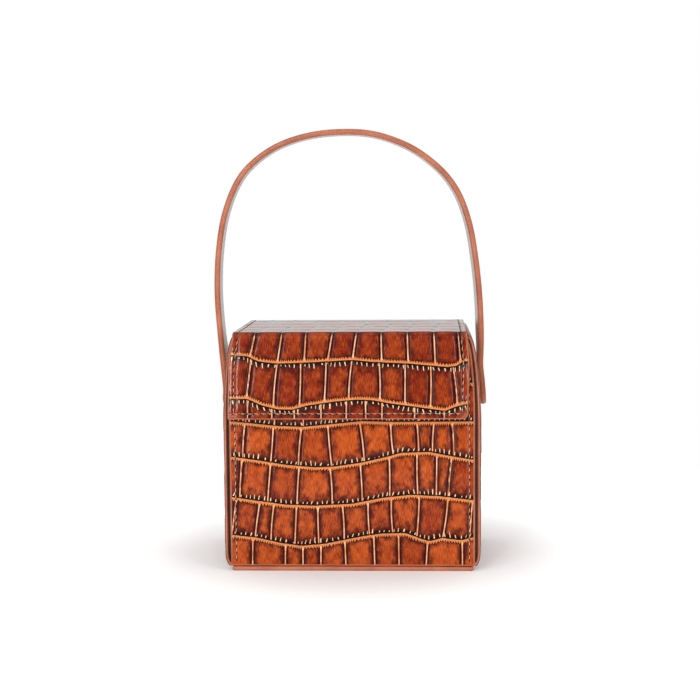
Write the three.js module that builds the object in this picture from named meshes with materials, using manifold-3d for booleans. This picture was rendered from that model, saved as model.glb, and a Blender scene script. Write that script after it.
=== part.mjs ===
// A small structured box bag in crocodile-embossed leather. A stiff front panel and a stiff wrap, which
// is the back, the lid and the front flap in one, stand on a base between two bowed side gussets. One
// flat strap is the handle.
// Millimetres, +Z up, front towards -Y. The origin is the middle of the underside.

import * as THREE from "three";
import { mergeVertices } from "three/addons/utils/BufferGeometryUtils.js";
import Module from "manifold-3d";

const wasm = await Module();
wasm.setup();

// Body
const bodyWidth = 160; // across the front edges of the two gussets
const bodyDepth = 100; // face of the front panel to face of the back panel
const bodyHeight = 150.7; // underside of the base to the top of the lid
const seam = 0.3; // left open between pieces that lie on each other

// Panels
const panelThickness = 2.4;
const baseThickness = 2.8;
const baseInset = 0.9; // the base is this much narrower than the panels on each side
const panelTopRadius = 1.5;
const panelFootRadius = 1;
const paintedEdge = 0.5; // rounding of the painted edges

// Gussets, as seen from the front: a short curve in at the foot and a long one in to the lid
const gussetThickness = 2.1;
const gussetFlange = 14; // turned inwards behind the panels and over the base
const edgeGroove = 1.2; // dark groove between a panel's edge and the gusset's front edge
const lipSetback = 0.4; // the gusset's front edge stands this far behind the panel's face
const footRise = 9;
const footInset = 3.6;
const shoulderRise = 60;
const shoulderInset = 7.2;
const belly = 1.8; // how far the middle of the side bows outwards
const curveSteps = 8;
const bendSteps = 6;
const bellySteps = 10;

// Lid and flap, which continue the back
const lidInset = 7.5; // the lid's edges stand this far inside the body's width
const creaseRadius = 3.4; // outside of the two bends
const flapInset = 5.4;
const flapDrop = 54.3; // top of the lid to the flap's lower edge
const flapSpread = 22; // drop over which the flap widens
const flapStandoff = 1.8; // between the flap and the front panel
const flapCornerLeft = 1;
const flapCornerRight = 3.6;
const creaseDrift = -1; // the lid sits slightly askew, to the left at the front
const tipDrift = -2.5;

// Hidden magnetic closure, a disc that fills the gap behind the flap
const magnetRadius = 7;
const magnetRise = 14; // above the flap's lower edge

// Handle
const strapWidth = 24;
const strapThickness = 3.7;
const strapEndRadius = 6;
const strapSteps = 84;
const handleRise = 126.1; // top of the lid to the top of the strap
const handleSpring = 6; // the strap's centre line springs this far outside the body's width
const tabDrop = 50.7; // top of the lid to the strap's sewn ends
const handleTwist = 2.4; // degrees that the free strap is turned about the vertical

const halfWidth = bodyWidth / 2;
const halfDepth = bodyDepth / 2;
const panelFoot = baseThickness + seam;
const lidUnderside = bodyHeight - panelThickness;
const panelTop = lidUnderside - seam;
const lidHalf = halfWidth - lidInset;
const flapHalf = halfWidth - flapInset;
const flangeFace = halfDepth - panelThickness - seam; // outer face of the flanges, from the middle

// Materials
const leather = (color, roughness = 0.3) =>
  new THREE.MeshStandardMaterial({ color, roughness, metalness: 0 });
const crocLeather = leather(0xa5431a);
const plainLeather = leather(0xb5633f, 0.55);
const steel = new THREE.MeshStandardMaterial({ color: 0xb8b8b8, roughness: 0.35, metalness: 1 });

// A closed three.js geometry as a solid for joining and cutting.
function toSolid(geometry) {
  const bare = geometry.clone();
  bare.deleteAttribute("normal");
  bare.deleteAttribute("uv");
  const merged = mergeVertices(bare, 1e-4);
  return new wasm.Manifold(
    new wasm.Mesh({
      numProp: 3,
      vertProperties: merged.attributes.position.array,
      triVerts: new Uint32Array(merged.index.array),
    }),
  );
}

function toGeometry(solid) {
  const { vertProperties, triVerts } = solid.getMesh();
  const geometry = new THREE.BufferGeometry();
  geometry.setAttribute("position", new THREE.BufferAttribute(vertProperties, 3));
  geometry.setIndex(new THREE.BufferAttribute(triVerts, 1));
  geometry.computeVertexNormals();
  return geometry;
}

function piece(name, geometry, material) {
  const mesh = new THREE.Mesh(geometry, material);
  mesh.name = name;
  return mesh;
}

// A shape drawn in x and z, given a thickness along y from yFront to yBack.
function plate(shape, yFront, yBack, rounding = 0, steps = 1) {
  const geometry = new THREE.ExtrudeGeometry(shape, {
    depth: yBack - yFront - 2 * rounding,
    steps,
    bevelEnabled: rounding > 0,
    bevelThickness: rounding,
    bevelSize: rounding,
    bevelOffset: -rounding,
    bevelSegments: 2,
    curveSegments: 6,
  });
  geometry.rotateX(Math.PI / 2);
  return geometry.translate(0, yBack - rounding, 0);
}

// Skin over a row of four-cornered sections, closed at both ends.
function loft(sections) {
  const corners = sections.flat();
  const faces = [];
  const quad = (a, b, c, d) => faces.push(a, b, c, a, c, d);
  for (let s = 0; s + 1 < sections.length; s++) {
    for (let k = 0; k < 4; k++) {
      const here = 4 * s;
      const next = (k + 1) % 4;
      quad(here + k, here + next, here + 4 + next, here + 4 + k);
    }
  }
  const last = 4 * (sections.length - 1);
  quad(3, 2, 1, 0);
  quad(last, last + 1, last + 2, last + 3);
  const geometry = new THREE.BufferGeometry().setFromPoints(corners);
  geometry.setIndex(faces);
  geometry.computeVertexNormals();
  return geometry;
}

// Half width that a round corner leaves at a distance from the end of a strip.
function roundedHalf(half, radius, fromEnd) {
  const inside = Math.min(Math.max(radius - fromEnd, 0), radius);
  return half - radius + Math.sqrt(radius ** 2 - inside ** 2);
}

// Distances from a strip's end at which its round corner gets a section.
function cornerStations(radius) {
  const turns = [0.02, 0.25, 0.5, 0.75, 1];
  return turns.map((turn) => radius * (1 - Math.cos((turn * Math.PI) / 2)));
}

// Outer face of the right gusset at its front edge, as a distance from the middle plane.
function gussetFace(z) {
  const footTop = panelFoot + footRise;
  const foot = Math.min(Math.max((footTop - z) / footRise, 0), 1);
  const shoulder = shoulderShare(z);
  return (
    halfWidth -
    footInset * (1 - Math.sqrt(1 - foot ** 2)) -
    shoulderInset * (1 - Math.sqrt(1 - shoulder ** 2))
  );
}

// How far up the gusset's shoulder a height is, from 0 to 1.
function shoulderShare(z) {
  const shoulderFoot = panelTop - shoulderRise;
  return Math.min(Math.max((z - shoulderFoot) / shoulderRise, 0), 1);
}

// Half width of the front panel and the back. Its edge follows the gusset's shoulder, and the groove
// beside it closes towards the lid.
function panelHalf(z) {
  const shoulder = shoulderShare(z);
  const groove = edgeGroove + (seam - edgeGroove) * shoulder;
  const lean = shoulderInset * (1 - Math.sqrt(1 - shoulder ** 2));
  return Math.max(halfWidth - lean - gussetThickness - groove, lidHalf);
}

// Heights from the shoulder's foot to a top, closer together where the shoulder curves most.
function shoulderHeights(top) {
  const foot = panelTop - shoulderRise;
  const heights = [];
  for (let i = 0; i <= curveSteps; i++) {
    heights.push(foot + (top - foot) * Math.sin(((i / curveSteps) * Math.PI) / 2));
  }
  return heights;
}

// Outline of the front panel.
function panelOutline() {
  const low = panelFoot;
  const foot = panelFootRadius;
  const footHalf = panelHalf(panelFoot);
  const top = panelTopRadius;
  const topHalf = panelHalf(panelTop);
  const sides = shoulderHeights(panelTop - top);
  const shape = new THREE.Shape();
  shape.moveTo(-footHalf + foot, low);
  shape.lineTo(footHalf - foot, low);
  shape.absarc(footHalf - foot, low + foot, foot, -Math.PI / 2, 0, false);
  for (const z of sides) shape.lineTo(panelHalf(z), z);
  shape.absarc(topHalf - top, panelTop - top, top, 0, Math.PI / 2, false);
  shape.lineTo(-topHalf + top, panelTop);
  shape.absarc(-topHalf + top, panelTop - top, top, Math.PI / 2, Math.PI, false);
  for (const z of [...sides].reverse()) shape.lineTo(-panelHalf(z), z);
  shape.absarc(-footHalf + foot, low + foot, foot, Math.PI, 1.5 * Math.PI, false);
  return shape;
}

// The room that the front panel or the back takes up in front of or behind the gussets' flanges.
function panelRoom(yFront, yBack) {
  const shape = new THREE.Shape();
  shape.moveTo(0, panelFoot - seam);
  for (const z of [panelFoot - seam, ...shoulderHeights(panelTop), bodyHeight]) {
    shape.lineTo(panelHalf(z) + seam, z);
  }
  shape.lineTo(0, bodyHeight);
  shape.closePath();
  return toSolid(plate(shape, yFront, yBack));
}

function makeBase() {
  const half = panelHalf(panelFoot) - baseInset;
  const shape = new THREE.Shape();
  shape.moveTo(-half, 0);
  shape.lineTo(half, 0);
  shape.lineTo(half, baseThickness);
  shape.lineTo(-half, baseThickness);
  shape.closePath();
  return plate(shape, -halfDepth, halfDepth, paintedEdge);
}

function makeFrontPanel() {
  return plate(panelOutline(), -halfDepth, -halfDepth + panelThickness, paintedEdge);
}

// How far the gusset's side bows out at a point.
function bellyAt(y, z) {
  const rise = Math.min(Math.max((z - panelFoot) / (panelTop - panelFoot), 0), 1);
  return belly * Math.max(1 - (y / flangeFace) ** 2, 0) * Math.sin(Math.PI * rise);
}

// Heights at which the gusset's outline gets a point.
function gussetHeights() {
  const heights = [];
  for (let i = 0; i <= curveSteps; i++) {
    const turn = Math.sin(((1 - i / curveSteps) * Math.PI) / 2);
    heights.push(panelFoot + footRise * (1 - turn));
  }
  return [...heights, ...shoulderHeights(panelTop)];
}

// Block whose outer side is the gusset's outline, moved in by a wall and reaching in to an inner side.
function gussetBlock(wall, inner, overTop, yFront, yBack) {
  const low = panelFoot + wall;
  const shape = new THREE.Shape();
  shape.moveTo(inner, low);
  const heights = gussetHeights().filter((z) => z > low + wall / 4);
  for (const z of [low, ...heights]) {
    shape.lineTo(gussetFace(z) - wall, z);
  }
  if (overTop > 0) shape.lineTo(gussetFace(panelTop) - wall, panelTop + overTop);
  shape.lineTo(inner, panelTop + overTop);
  shape.closePath();
  return plate(shape, yFront, yBack, 0, bellySteps);
}

function bow(geometry) {
  const position = geometry.attributes.position;
  for (let i = 0; i < position.count; i++) {
    const x = position.getX(i) + bellyAt(position.getY(i), position.getZ(i));
    position.setX(i, x);
  }
  return geometry;
}

// A tray-shaped side: bowed wall, flanges behind both panels and over the base, and narrow lips that
// stand forward and back beside the panels' painted edges.
function makeGusset() {
  const flangeInner = halfWidth - gussetThickness - gussetFlange;
  const hollowInner = flangeInner - gussetFlange;
  const hollowFace = flangeFace - gussetThickness;
  const block = gussetBlock(0, flangeInner, 0, -flangeFace, flangeFace);
  const hollow = gussetBlock(gussetThickness, hollowInner, gussetThickness, -hollowFace, hollowFace);
  const tray = toSolid(bow(block)).subtract(toSolid(bow(hollow)));

  const lipFace = halfDepth - lipSetback;
  const lipBlock = toSolid(gussetBlock(0, flangeInner, 0, -lipFace, lipFace));
  const lipHollow = toSolid(
    gussetBlock(gussetThickness, hollowInner, gussetThickness, -bodyDepth, bodyDepth),
  );
  const betweenLips = toSolid(gussetBlock(0, hollowInner, 0, -hollowFace, hollowFace));
  const lips = lipBlock
    .subtract(lipHollow)
    .subtract(betweenLips)
    .subtract(panelRoom(-bodyDepth, -flangeFace))
    .subtract(panelRoom(flangeFace, bodyDepth));
  return tray.add(lips);
}

function mirrored(geometry) {
  const position = geometry.attributes.position;
  for (let i = 0; i < position.count; i++) position.setX(i, -position.getX(i));
  const index = geometry.index.array;
  for (let i = 0; i < index.length; i += 3) {
    [index[i + 1], index[i + 2]] = [index[i + 2], index[i + 1]];
  }
  geometry.computeVertexNormals();
  return geometry;
}

// The wrap rises as the back, runs forward as the lid, turns down at the crease and ends in the flap.
// Each section holds the outer and inner surface at one place along that run, each as [y, z].
function makeWrap() {
  const flapInner = -halfDepth - flapStandoff;
  const flapOuter = flapInner - panelThickness;
  const innerRadius = creaseRadius - panelThickness;
  const bendZ = bodyHeight - creaseRadius;
  const backBendY = halfDepth - creaseRadius;
  const creaseY = flapOuter + creaseRadius;
  const flapTip = bodyHeight - flapDrop;
  const flapRun = bendZ - flapTip;
  const sections = [];
  const section = (outer, inner, left, right) => {
    sections.push([
      new THREE.Vector3(left, ...outer),
      new THREE.Vector3(left, ...inner),
      new THREE.Vector3(right, ...inner),
      new THREE.Vector3(right, ...outer),
    ]);
  };
  const bend = (middleY, turn, drift) => {
    const onArc = (r) => [middleY + r * Math.cos(turn), bendZ + r * Math.sin(turn)];
    section(onArc(creaseRadius), onArc(innerRadius), drift - lidHalf, drift + lidHalf);
  };

  const footTurns = cornerStations(panelFootRadius);
  for (const rise of footTurns) {
    const half = roundedHalf(panelHalf(panelFoot), panelFootRadius, rise);
    const z = panelFoot + rise;
    section([halfDepth, z], [halfDepth - panelThickness, z], -half, half);
  }
  for (const z of shoulderHeights(bendZ)) {
    const half = panelHalf(z);
    section([halfDepth, z], [halfDepth - panelThickness, z], -half, half);
  }
  for (let i = 1; i <= bendSteps; i++) bend(backBendY, ((i / bendSteps) * Math.PI) / 2, 0);
  for (let i = 0; i <= bendSteps; i++) {
    bend(creaseY, ((1 + i / bendSteps) * Math.PI) / 2, creaseDrift);
  }
  const widening = [0.25, 0.5, 0.75, 1].map((share) => share * flapSpread);
  const corner = cornerStations(flapCornerRight).map((fromEnd) => flapRun - fromEnd);
  for (const run of [...widening, ...corner.reverse()]) {
    const spread = Math.sin((Math.min(run / flapSpread, 1) * Math.PI) / 2);
    const half = lidHalf + spread * (flapHalf - lidHalf);
    const left = roundedHalf(half, flapCornerLeft, flapRun - run);
    const right = roundedHalf(half, flapCornerRight, flapRun - run);
    const drift = creaseDrift + ((tipDrift - creaseDrift) * run) / flapRun;
    const z = bendZ - run;
    section([flapOuter, z], [flapInner, z], drift - left, drift + right);
  }
  return loft(sections);
}

function makeMagnet() {
  const thickness = flapStandoff - 2 * seam;
  const disc = new THREE.CylinderGeometry(magnetRadius, magnetRadius, thickness, 24);
  const z = bodyHeight - flapDrop + magnetRise;
  return disc.translate(tipDrift, -halfDepth - flapStandoff / 2, z);
}

// Free run of the handle's centre line between the two gussets, from the left side to the right.
// across: share of the handle's reach. up: share of the rise from the strap's ends to its top.
const handleArch = [
  { across: -0.9765, up: 0.129 },
  { across: -0.992, up: 0.204 },
  { across: -1.0075, up: 0.28 },
  { across: -1.023, up: 0.42 },
  { across: -1.008, up: 0.57 },
  { across: -0.956, up: 0.71 },
  { across: -0.852, up: 0.829 },
  { across: -0.737, up: 0.893 },
  { across: -0.553, up: 0.952 },
  { across: -0.314, up: 0.989 },
  { across: -0.05, up: 1.0 },
  { across: 0.155, up: 0.991 },
  { across: 0.355, up: 0.959 },
  { across: 0.495, up: 0.922 },
  { across: 0.666, up: 0.852 },
  { across: 0.775, up: 0.778 },
  { across: 0.856, up: 0.672 },
  { across: 0.908, up: 0.53 },
  { across: 0.937, up: 0.386 },
  { across: 0.947, up: 0.26 },
  { across: 0.9485, up: 0.2 },
];

// Heights, as shares of the same rise, at which the strap lies sewn on each gusset.
const sewnLeft = [0, 0.03, 0.055];
const sewnRight = [0.14, 0.1, 0.05, 0];

function makeHandle() {
  const rise = handleRise + tabDrop - strapThickness / 2;
  const reach = halfWidth + handleSpring;
  const tabEnd = bodyHeight - tabDrop;
  const sewn = (side, share) => {
    const z = tabEnd + share * rise;
    const x = gussetFace(z) + bellyAt(0, z) + seam + strapThickness / 2;
    return new THREE.Vector3(side * x, 0, z);
  };
  const arch = handleArch.map(
    ({ across, up }) => new THREE.Vector3(across * reach, 0, tabEnd + up * rise),
  );
  const route = new THREE.CatmullRomCurve3([
    ...sewnLeft.map((share) => sewn(-1, share)),
    ...arch,
    ...sewnRight.map((share) => sewn(1, share)),
  ]);
  route.arcLengthDivisions = 1200;
  const length = route.getLength();
  const ends = cornerStations(strapEndRadius);
  const stations = [...ends];
  for (let i = 1; i < strapSteps; i++) {
    const run = (i / strapSteps) * length;
    if (run > strapEndRadius && run < length - strapEndRadius) stations.push(run);
  }
  stations.push(...ends.map((fromEnd) => length - fromEnd).reverse());
  const sections = stations.map((run) => {
    const middle = route.getPointAt(run / length);
    const along = route.getTangentAt(run / length);
    const out = new THREE.Vector3(-along.z, 0, along.x).multiplyScalar(strapThickness / 2);
    const fromEnd = Math.min(run, length - run);
    const half = roundedHalf(strapWidth / 2, strapEndRadius, fromEnd);
    const free = THREE.MathUtils.smoothstep(middle.z, bodyHeight - tabDrop / 2, bodyHeight);
    const twist = THREE.MathUtils.degToRad(handleTwist) * free;
    const wide = new THREE.Vector3(-Math.sin(twist), Math.cos(twist), 0).multiplyScalar(half);
    return [
      middle.clone().add(out).sub(wide),
      middle.clone().sub(out).sub(wide),
      middle.clone().sub(out).add(wide),
      middle.clone().add(out).add(wide),
    ];
  });
  return loft(sections);
}

const gusset = makeGusset();
const bag = new THREE.Group();
bag.add(piece("base_panel", makeBase(), plainLeather));
bag.add(piece("front_panel", makeFrontPanel(), crocLeather));
bag.add(piece("back_lid_flap", makeWrap(), crocLeather));
bag.add(piece("gusset_right", toGeometry(gusset), crocLeather));
bag.add(piece("gusset_left", mirrored(toGeometry(gusset)), crocLeather));
bag.add(piece("closure_magnet", makeMagnet(), steel));
bag.add(piece("handle_strap", makeHandle(), crocLeather));

export default bag;
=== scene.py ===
import math

import bmesh
import bpy
import numpy as np
from mathutils import Matrix, Vector


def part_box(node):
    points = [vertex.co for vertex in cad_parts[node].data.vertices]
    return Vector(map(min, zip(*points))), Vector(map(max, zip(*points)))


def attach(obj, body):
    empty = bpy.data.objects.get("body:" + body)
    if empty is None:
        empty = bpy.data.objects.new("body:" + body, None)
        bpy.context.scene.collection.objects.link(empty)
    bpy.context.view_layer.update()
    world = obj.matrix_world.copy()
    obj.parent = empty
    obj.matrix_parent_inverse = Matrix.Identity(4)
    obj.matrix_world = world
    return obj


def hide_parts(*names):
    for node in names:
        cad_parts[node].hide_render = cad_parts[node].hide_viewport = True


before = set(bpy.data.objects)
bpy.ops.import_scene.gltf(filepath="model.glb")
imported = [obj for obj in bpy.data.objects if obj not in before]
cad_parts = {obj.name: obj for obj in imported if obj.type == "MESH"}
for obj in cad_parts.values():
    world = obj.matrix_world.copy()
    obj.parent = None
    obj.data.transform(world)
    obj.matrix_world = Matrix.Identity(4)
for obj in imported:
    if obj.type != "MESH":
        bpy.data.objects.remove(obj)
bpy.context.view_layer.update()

MM = 0.001

# Studio. The bag stands on a pale sweep under soft boxes, seen a little from above and from the
# right, as in the photograph. The bright air behind it whitens the glossy lid.
CAMERA_AZIMUTH = math.radians(2.41)
CAMERA_ELEVATION = math.radians(5.47)
CAMERA_ROLL = math.radians(-0.43)
CAMERA_DISTANCE = 1.0053
CAMERA_TARGET = Vector((-0.00277, 0, 0.13453))
CAMERA_LENS = 79.39
FLOOR_RADIUS = 0.42

camera_back = Vector((
    math.sin(CAMERA_AZIMUTH) * math.cos(CAMERA_ELEVATION),
    -math.cos(CAMERA_AZIMUTH) * math.cos(CAMERA_ELEVATION),
    math.sin(CAMERA_ELEVATION),
))
camera_right = Vector((0, 0, 1)).cross(camera_back).normalized()
camera_up = camera_back.cross(camera_right)
rolled_right = camera_right * math.cos(CAMERA_ROLL) + camera_up * math.sin(CAMERA_ROLL)
rolled_up = camera_up * math.cos(CAMERA_ROLL) - camera_right * math.sin(CAMERA_ROLL)
camera_data = bpy.data.cameras.new("camera")
camera_data.sensor_width = 36
camera_data.lens = CAMERA_LENS
camera = bpy.data.objects.new("camera", camera_data)
bpy.context.scene.collection.objects.link(camera)
turned = Matrix((rolled_right, rolled_up, camera_back)).transposed().to_4x4()
camera.matrix_world = Matrix.Translation(CAMERA_TARGET + camera_back * CAMERA_DISTANCE) @ turned
bpy.context.scene.camera = camera
bpy.context.scene.view_settings.view_transform = "Standard"

world = bpy.data.worlds.new("studio")
bpy.context.scene.world = world
world.use_nodes = True


def studio_air(tree):
    """Plain white behind the bag. What lights and mirrors in it is bright low down all round, softer
    overhead, and dark below the table's front edge."""
    backdrop = tree.nodes["Background"]
    backdrop.inputs["Color"].default_value = (1, 1, 1, 1)
    height = tree.nodes.new("ShaderNodeSeparateXYZ")
    tree.links.new(tree.nodes.new("ShaderNodeTexCoord").outputs["Generated"], height.inputs[0])

    def slope(value, *numbers):
        node = tree.nodes.new("ShaderNodeMapRange")
        node.interpolation_type = "SMOOTHSTEP"
        for socket, number in zip(list(node.inputs)[1:5], numbers):
            socket.default_value = number
        tree.links.new(value, node.inputs["Value"])
        return node.outputs["Result"]

    def join(operation, first, second):
        node = tree.nodes.new("ShaderNodeMath")
        node.operation = operation
        tree.links.new(first, node.inputs[0])
        tree.links.new(second, node.inputs[1])
        return node.outputs[0]

    above = slope(height.outputs["Z"], -0.02, 0.02, 0.03, 0.76)
    behind = slope(height.outputs["Y"], 0.1, 0.5, 0.0, 0.76)
    overhead = slope(height.outputs["Z"], 0.15, 0.5, 1.0, 0.5)
    above = join("MAXIMUM", above, behind)
    seen = tree.nodes.new("ShaderNodeLightPath").outputs["Is Camera Ray"]
    tree.links.new(join("MAXIMUM", join("MULTIPLY", above, overhead), seen), backdrop.inputs["Strength"])


studio_air(world.node_tree)


def soft_box(name, place, target, width, height, power):
    light = bpy.data.lights.new(name, "AREA")
    light.shape = "RECTANGLE"
    light.size = width
    light.size_y = height
    light.energy = power
    box = bpy.data.objects.new(name, light)
    bpy.context.scene.collection.objects.link(box)
    box.location = place
    box.rotation_euler = (Vector(target) - Vector(place)).to_track_quat("-Z", "Y").to_euler()


soft_box("key_light", (-0.7, -1.5, 1.2), (0, 0, 0.1), 0.9, 0.9, 10)
soft_box("fill_light", (1.1, -1.2, 0.9), (0, 0, 0.1), 0.7, 0.7, 5)
soft_box("top_light", (0, -0.1, 1.7), (0, 0, 0), 1.5, 1.5, 7)
soft_box("left_strip", (-0.33, -1.25, 0.2), (0, 0, 0.1), 0.07, 0.8, 3.8)
soft_box("right_strip", (0.25, -1.28, 0.2), (0, 0, 0.1), 0.05, 0.8, 2.2)


def plain_floor():
    """A round of pale paper with a painted glow: its emission, faint near the bag, brightens it to plain
    white towards its rim.
    """
    shape = bmesh.new()
    bmesh.ops.create_circle(shape, cap_ends=True, segments=128, radius=FLOOR_RADIUS)
    mesh = bpy.data.meshes.new("floor")
    shape.to_mesh(mesh)
    shape.free()
    floor = bpy.data.objects.new("floor", mesh)
    bpy.context.scene.collection.objects.link(floor)
    paint = bpy.data.materials.new("floor_paper")
    paint.use_nodes = True
    tree = paint.node_tree
    surface = tree.nodes["Principled BSDF"]
    surface.inputs["Base Color"].default_value = (0.86, 0.855, 0.85, 1)
    surface.inputs["Roughness"].default_value = 0.9
    surface.inputs["Specular IOR Level"].default_value = 0.1
    surface.inputs["Emission Color"].default_value = (1, 1, 1, 1)
    place = tree.nodes.new("ShaderNodeTexCoord").outputs["Object"]
    away = tree.nodes.new("ShaderNodeVectorMath")
    away.operation = "LENGTH"
    tree.links.new(place, away.inputs[0])
    lit = tree.nodes.new("ShaderNodeMapRange")
    lit.interpolation_type = "SMOOTHSTEP"
    lit.inputs["From Min"].default_value = 0.04
    lit.inputs["From Max"].default_value = 0.3
    lit.inputs["To Min"].default_value = 0.09
    tree.links.new(away.outputs["Value"], lit.inputs["Value"])
    # Painted light: the paper glows more the farther it lies from the bag.
    tree.links.new(lit.outputs["Result"], surface.inputs["Emission Strength"])
    mesh.materials.append(paint)


plain_floor()

# Base panel. A stiff slab of leather board that carries the four walls. Its edge is sanded, painted
# tan and shows as a strip under the front panel.
base_low, base_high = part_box("base_panel")
BASE_EDGE = 1.0 * MM
EDGE_RINGS = 6


def linear(red, green, blue):
    """A colour read as 0 to 255 steps, as Blender wants it."""
    steps = (np.array((red, green, blue)) / 255 + 0.055) / 1.055
    return (*(steps ** 2.4).tolist(), 1)


def new_material(name, roughness, coat=0.0, coat_roughness=0.1, specular=0.3):
    material = bpy.data.materials.new(name)
    material.use_nodes = True
    shader = material.node_tree.nodes["Principled BSDF"]
    shader.inputs["Roughness"].default_value = roughness
    shader.inputs["Coat Weight"].default_value = coat
    shader.inputs["Coat Roughness"].default_value = coat_roughness
    shader.inputs["Coat IOR"].default_value = 1.28
    shader.inputs["Specular IOR Level"].default_value = specular
    return material, material.node_tree, shader


def feed(tree, socket, value):
    if isinstance(value, bpy.types.NodeSocket):
        tree.links.new(value, socket)
    else:
        socket.default_value = value


def work(tree, operation, *values, clamp=False):
    node = tree.nodes.new("ShaderNodeMath")
    node.operation = operation
    node.use_clamp = clamp
    for socket, value in zip(node.inputs, values):
        feed(tree, socket, value)
    return node.outputs[0]


def fade(tree, value, start, end, low=0.0, high=1.0):
    """Goes smoothly from low to high while value goes from start to end."""
    node = tree.nodes.new("ShaderNodeMapRange")
    node.interpolation_type = "SMOOTHSTEP"
    for socket, number in zip(node.inputs, (value, start, end, low, high)):
        feed(tree, socket, number)
    return node.outputs["Result"]


def blend(tree, share, first, second):
    node = tree.nodes.new("ShaderNodeMix")
    node.data_type = "RGBA"
    feed(tree, node.inputs["Factor"], share)
    feed(tree, node.inputs[6], first)
    feed(tree, node.inputs[7], second)
    return node.outputs[2]


def stretched(tree, vector, scales, shift=(0, 0, 0)):
    node = tree.nodes.new("ShaderNodeMapping")
    node.inputs["Scale"].default_value = scales
    node.inputs["Location"].default_value = shift
    tree.links.new(vector, node.inputs["Vector"])
    return node.outputs["Vector"]


def speckle(tree, vector, scale, detail=2.0, roughness=0.5):
    node = tree.nodes.new("ShaderNodeTexNoise")
    node.inputs["Scale"].default_value = scale
    node.inputs["Detail"].default_value = detail
    node.inputs["Roughness"].default_value = roughness
    tree.links.new(vector, node.inputs["Vector"])
    return node.outputs["Fac"]


def object_place(tree):
    return tree.nodes.new("ShaderNodeTexCoord").outputs["Object"]


def raise_grain(tree, shader, height, distance, strength=1.0):
    node = tree.nodes.new("ShaderNodeBump")
    node.inputs["Strength"].default_value = strength
    node.inputs["Distance"].default_value = distance
    tree.links.new(height, node.inputs["Height"])
    tree.links.new(node.outputs["Normal"], shader.inputs["Normal"])


def edge_paint():
    """Satin tan paint on a cut leather edge, with fine lengthwise streaks and a few darker rubs."""
    material, tree, shader = new_material("edge_paint", 0.4, 0.6, 0.22)
    place = object_place(tree)
    cloud = speckle(tree, place, 60, 3, 0.5)
    fine = speckle(tree, place, 1800, 2, 0.5)
    tone = work(tree, "ADD", work(tree, "MULTIPLY", cloud, 0.6), work(tree, "MULTIPLY", fine, 0.4))
    paint = blend(tree, fade(tree, tone, 0.3, 0.7), linear(160, 85, 56), linear(192, 115, 82))
    tree.links.new(paint, shader.inputs["Base Color"])
    raise_grain(tree, shader, fine, 0.03 * MM, 0.25)
    return material


def plain_hide(name, dark, light, roughness=0.5, coat=0.0):
    """Smooth hide with a fine pebble grain, for faces that carry no scales."""
    material, tree, shader = new_material(name, roughness, coat, 0.2)
    place = object_place(tree)
    cells = tree.nodes.new("ShaderNodeTexVoronoi")
    cells.inputs["Scale"].default_value = 1500
    tree.links.new(place, cells.inputs["Vector"])
    cloud = speckle(tree, place, 60, 4, 0.6)
    tree.links.new(blend(tree, fade(tree, cloud, 0.3, 0.7), dark, light), shader.inputs["Base Color"])
    raise_grain(tree, shader, cells.outputs["Distance"], 0.12 * MM, 0.5)
    return material


EDGE_PAINT = edge_paint()
BASE_HIDE = plain_hide("base_hide", linear(96, 40, 22), linear(138, 66, 38))


class Route:
    """The profile that a sheet follows: points in the plane square to its width, with their run."""

    def __init__(self, points, plane, turned_out=1):
        self.points = np.array(points, float)
        steps = np.linalg.norm(np.diff(self.points, axis=0), axis=1)
        self.run = np.concatenate([[0], np.cumsum(steps)])
        self.length = self.run[-1]
        self.along = np.gradient(self.points, self.run, axis=0)
        self.along /= np.linalg.norm(self.along, axis=1)[:, None]
        self.plane = np.array(plane, float)
        self.turned_out = turned_out

    def at(self, run):
        """Place, direction and outward normal at each run, in three dimensions."""
        flat = np.stack([np.interp(run, self.run, self.points[:, k]) for k in (0, 1)], axis=-1)
        along = np.stack([np.interp(run, self.run, self.along[:, k]) for k in (0, 1)], axis=-1)
        along /= np.linalg.norm(along, axis=-1)[..., None]
        outward = np.stack([along[..., 1], -along[..., 0]], axis=-1) * self.turned_out
        return flat @ self.plane, along @ self.plane, outward @ self.plane


YZ = [(0, 1, 0), (0, 0, 1)]
XZ = [(1, 0, 0), (0, 0, 1)]


def link_piece(name, mesh, slot, *replaced):
    piece = bpy.data.objects.new(name, mesh)
    bpy.context.scene.collection.objects.link(piece)
    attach(piece, "root")
    if replaced:
        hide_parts(*replaced)
    return piece


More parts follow.
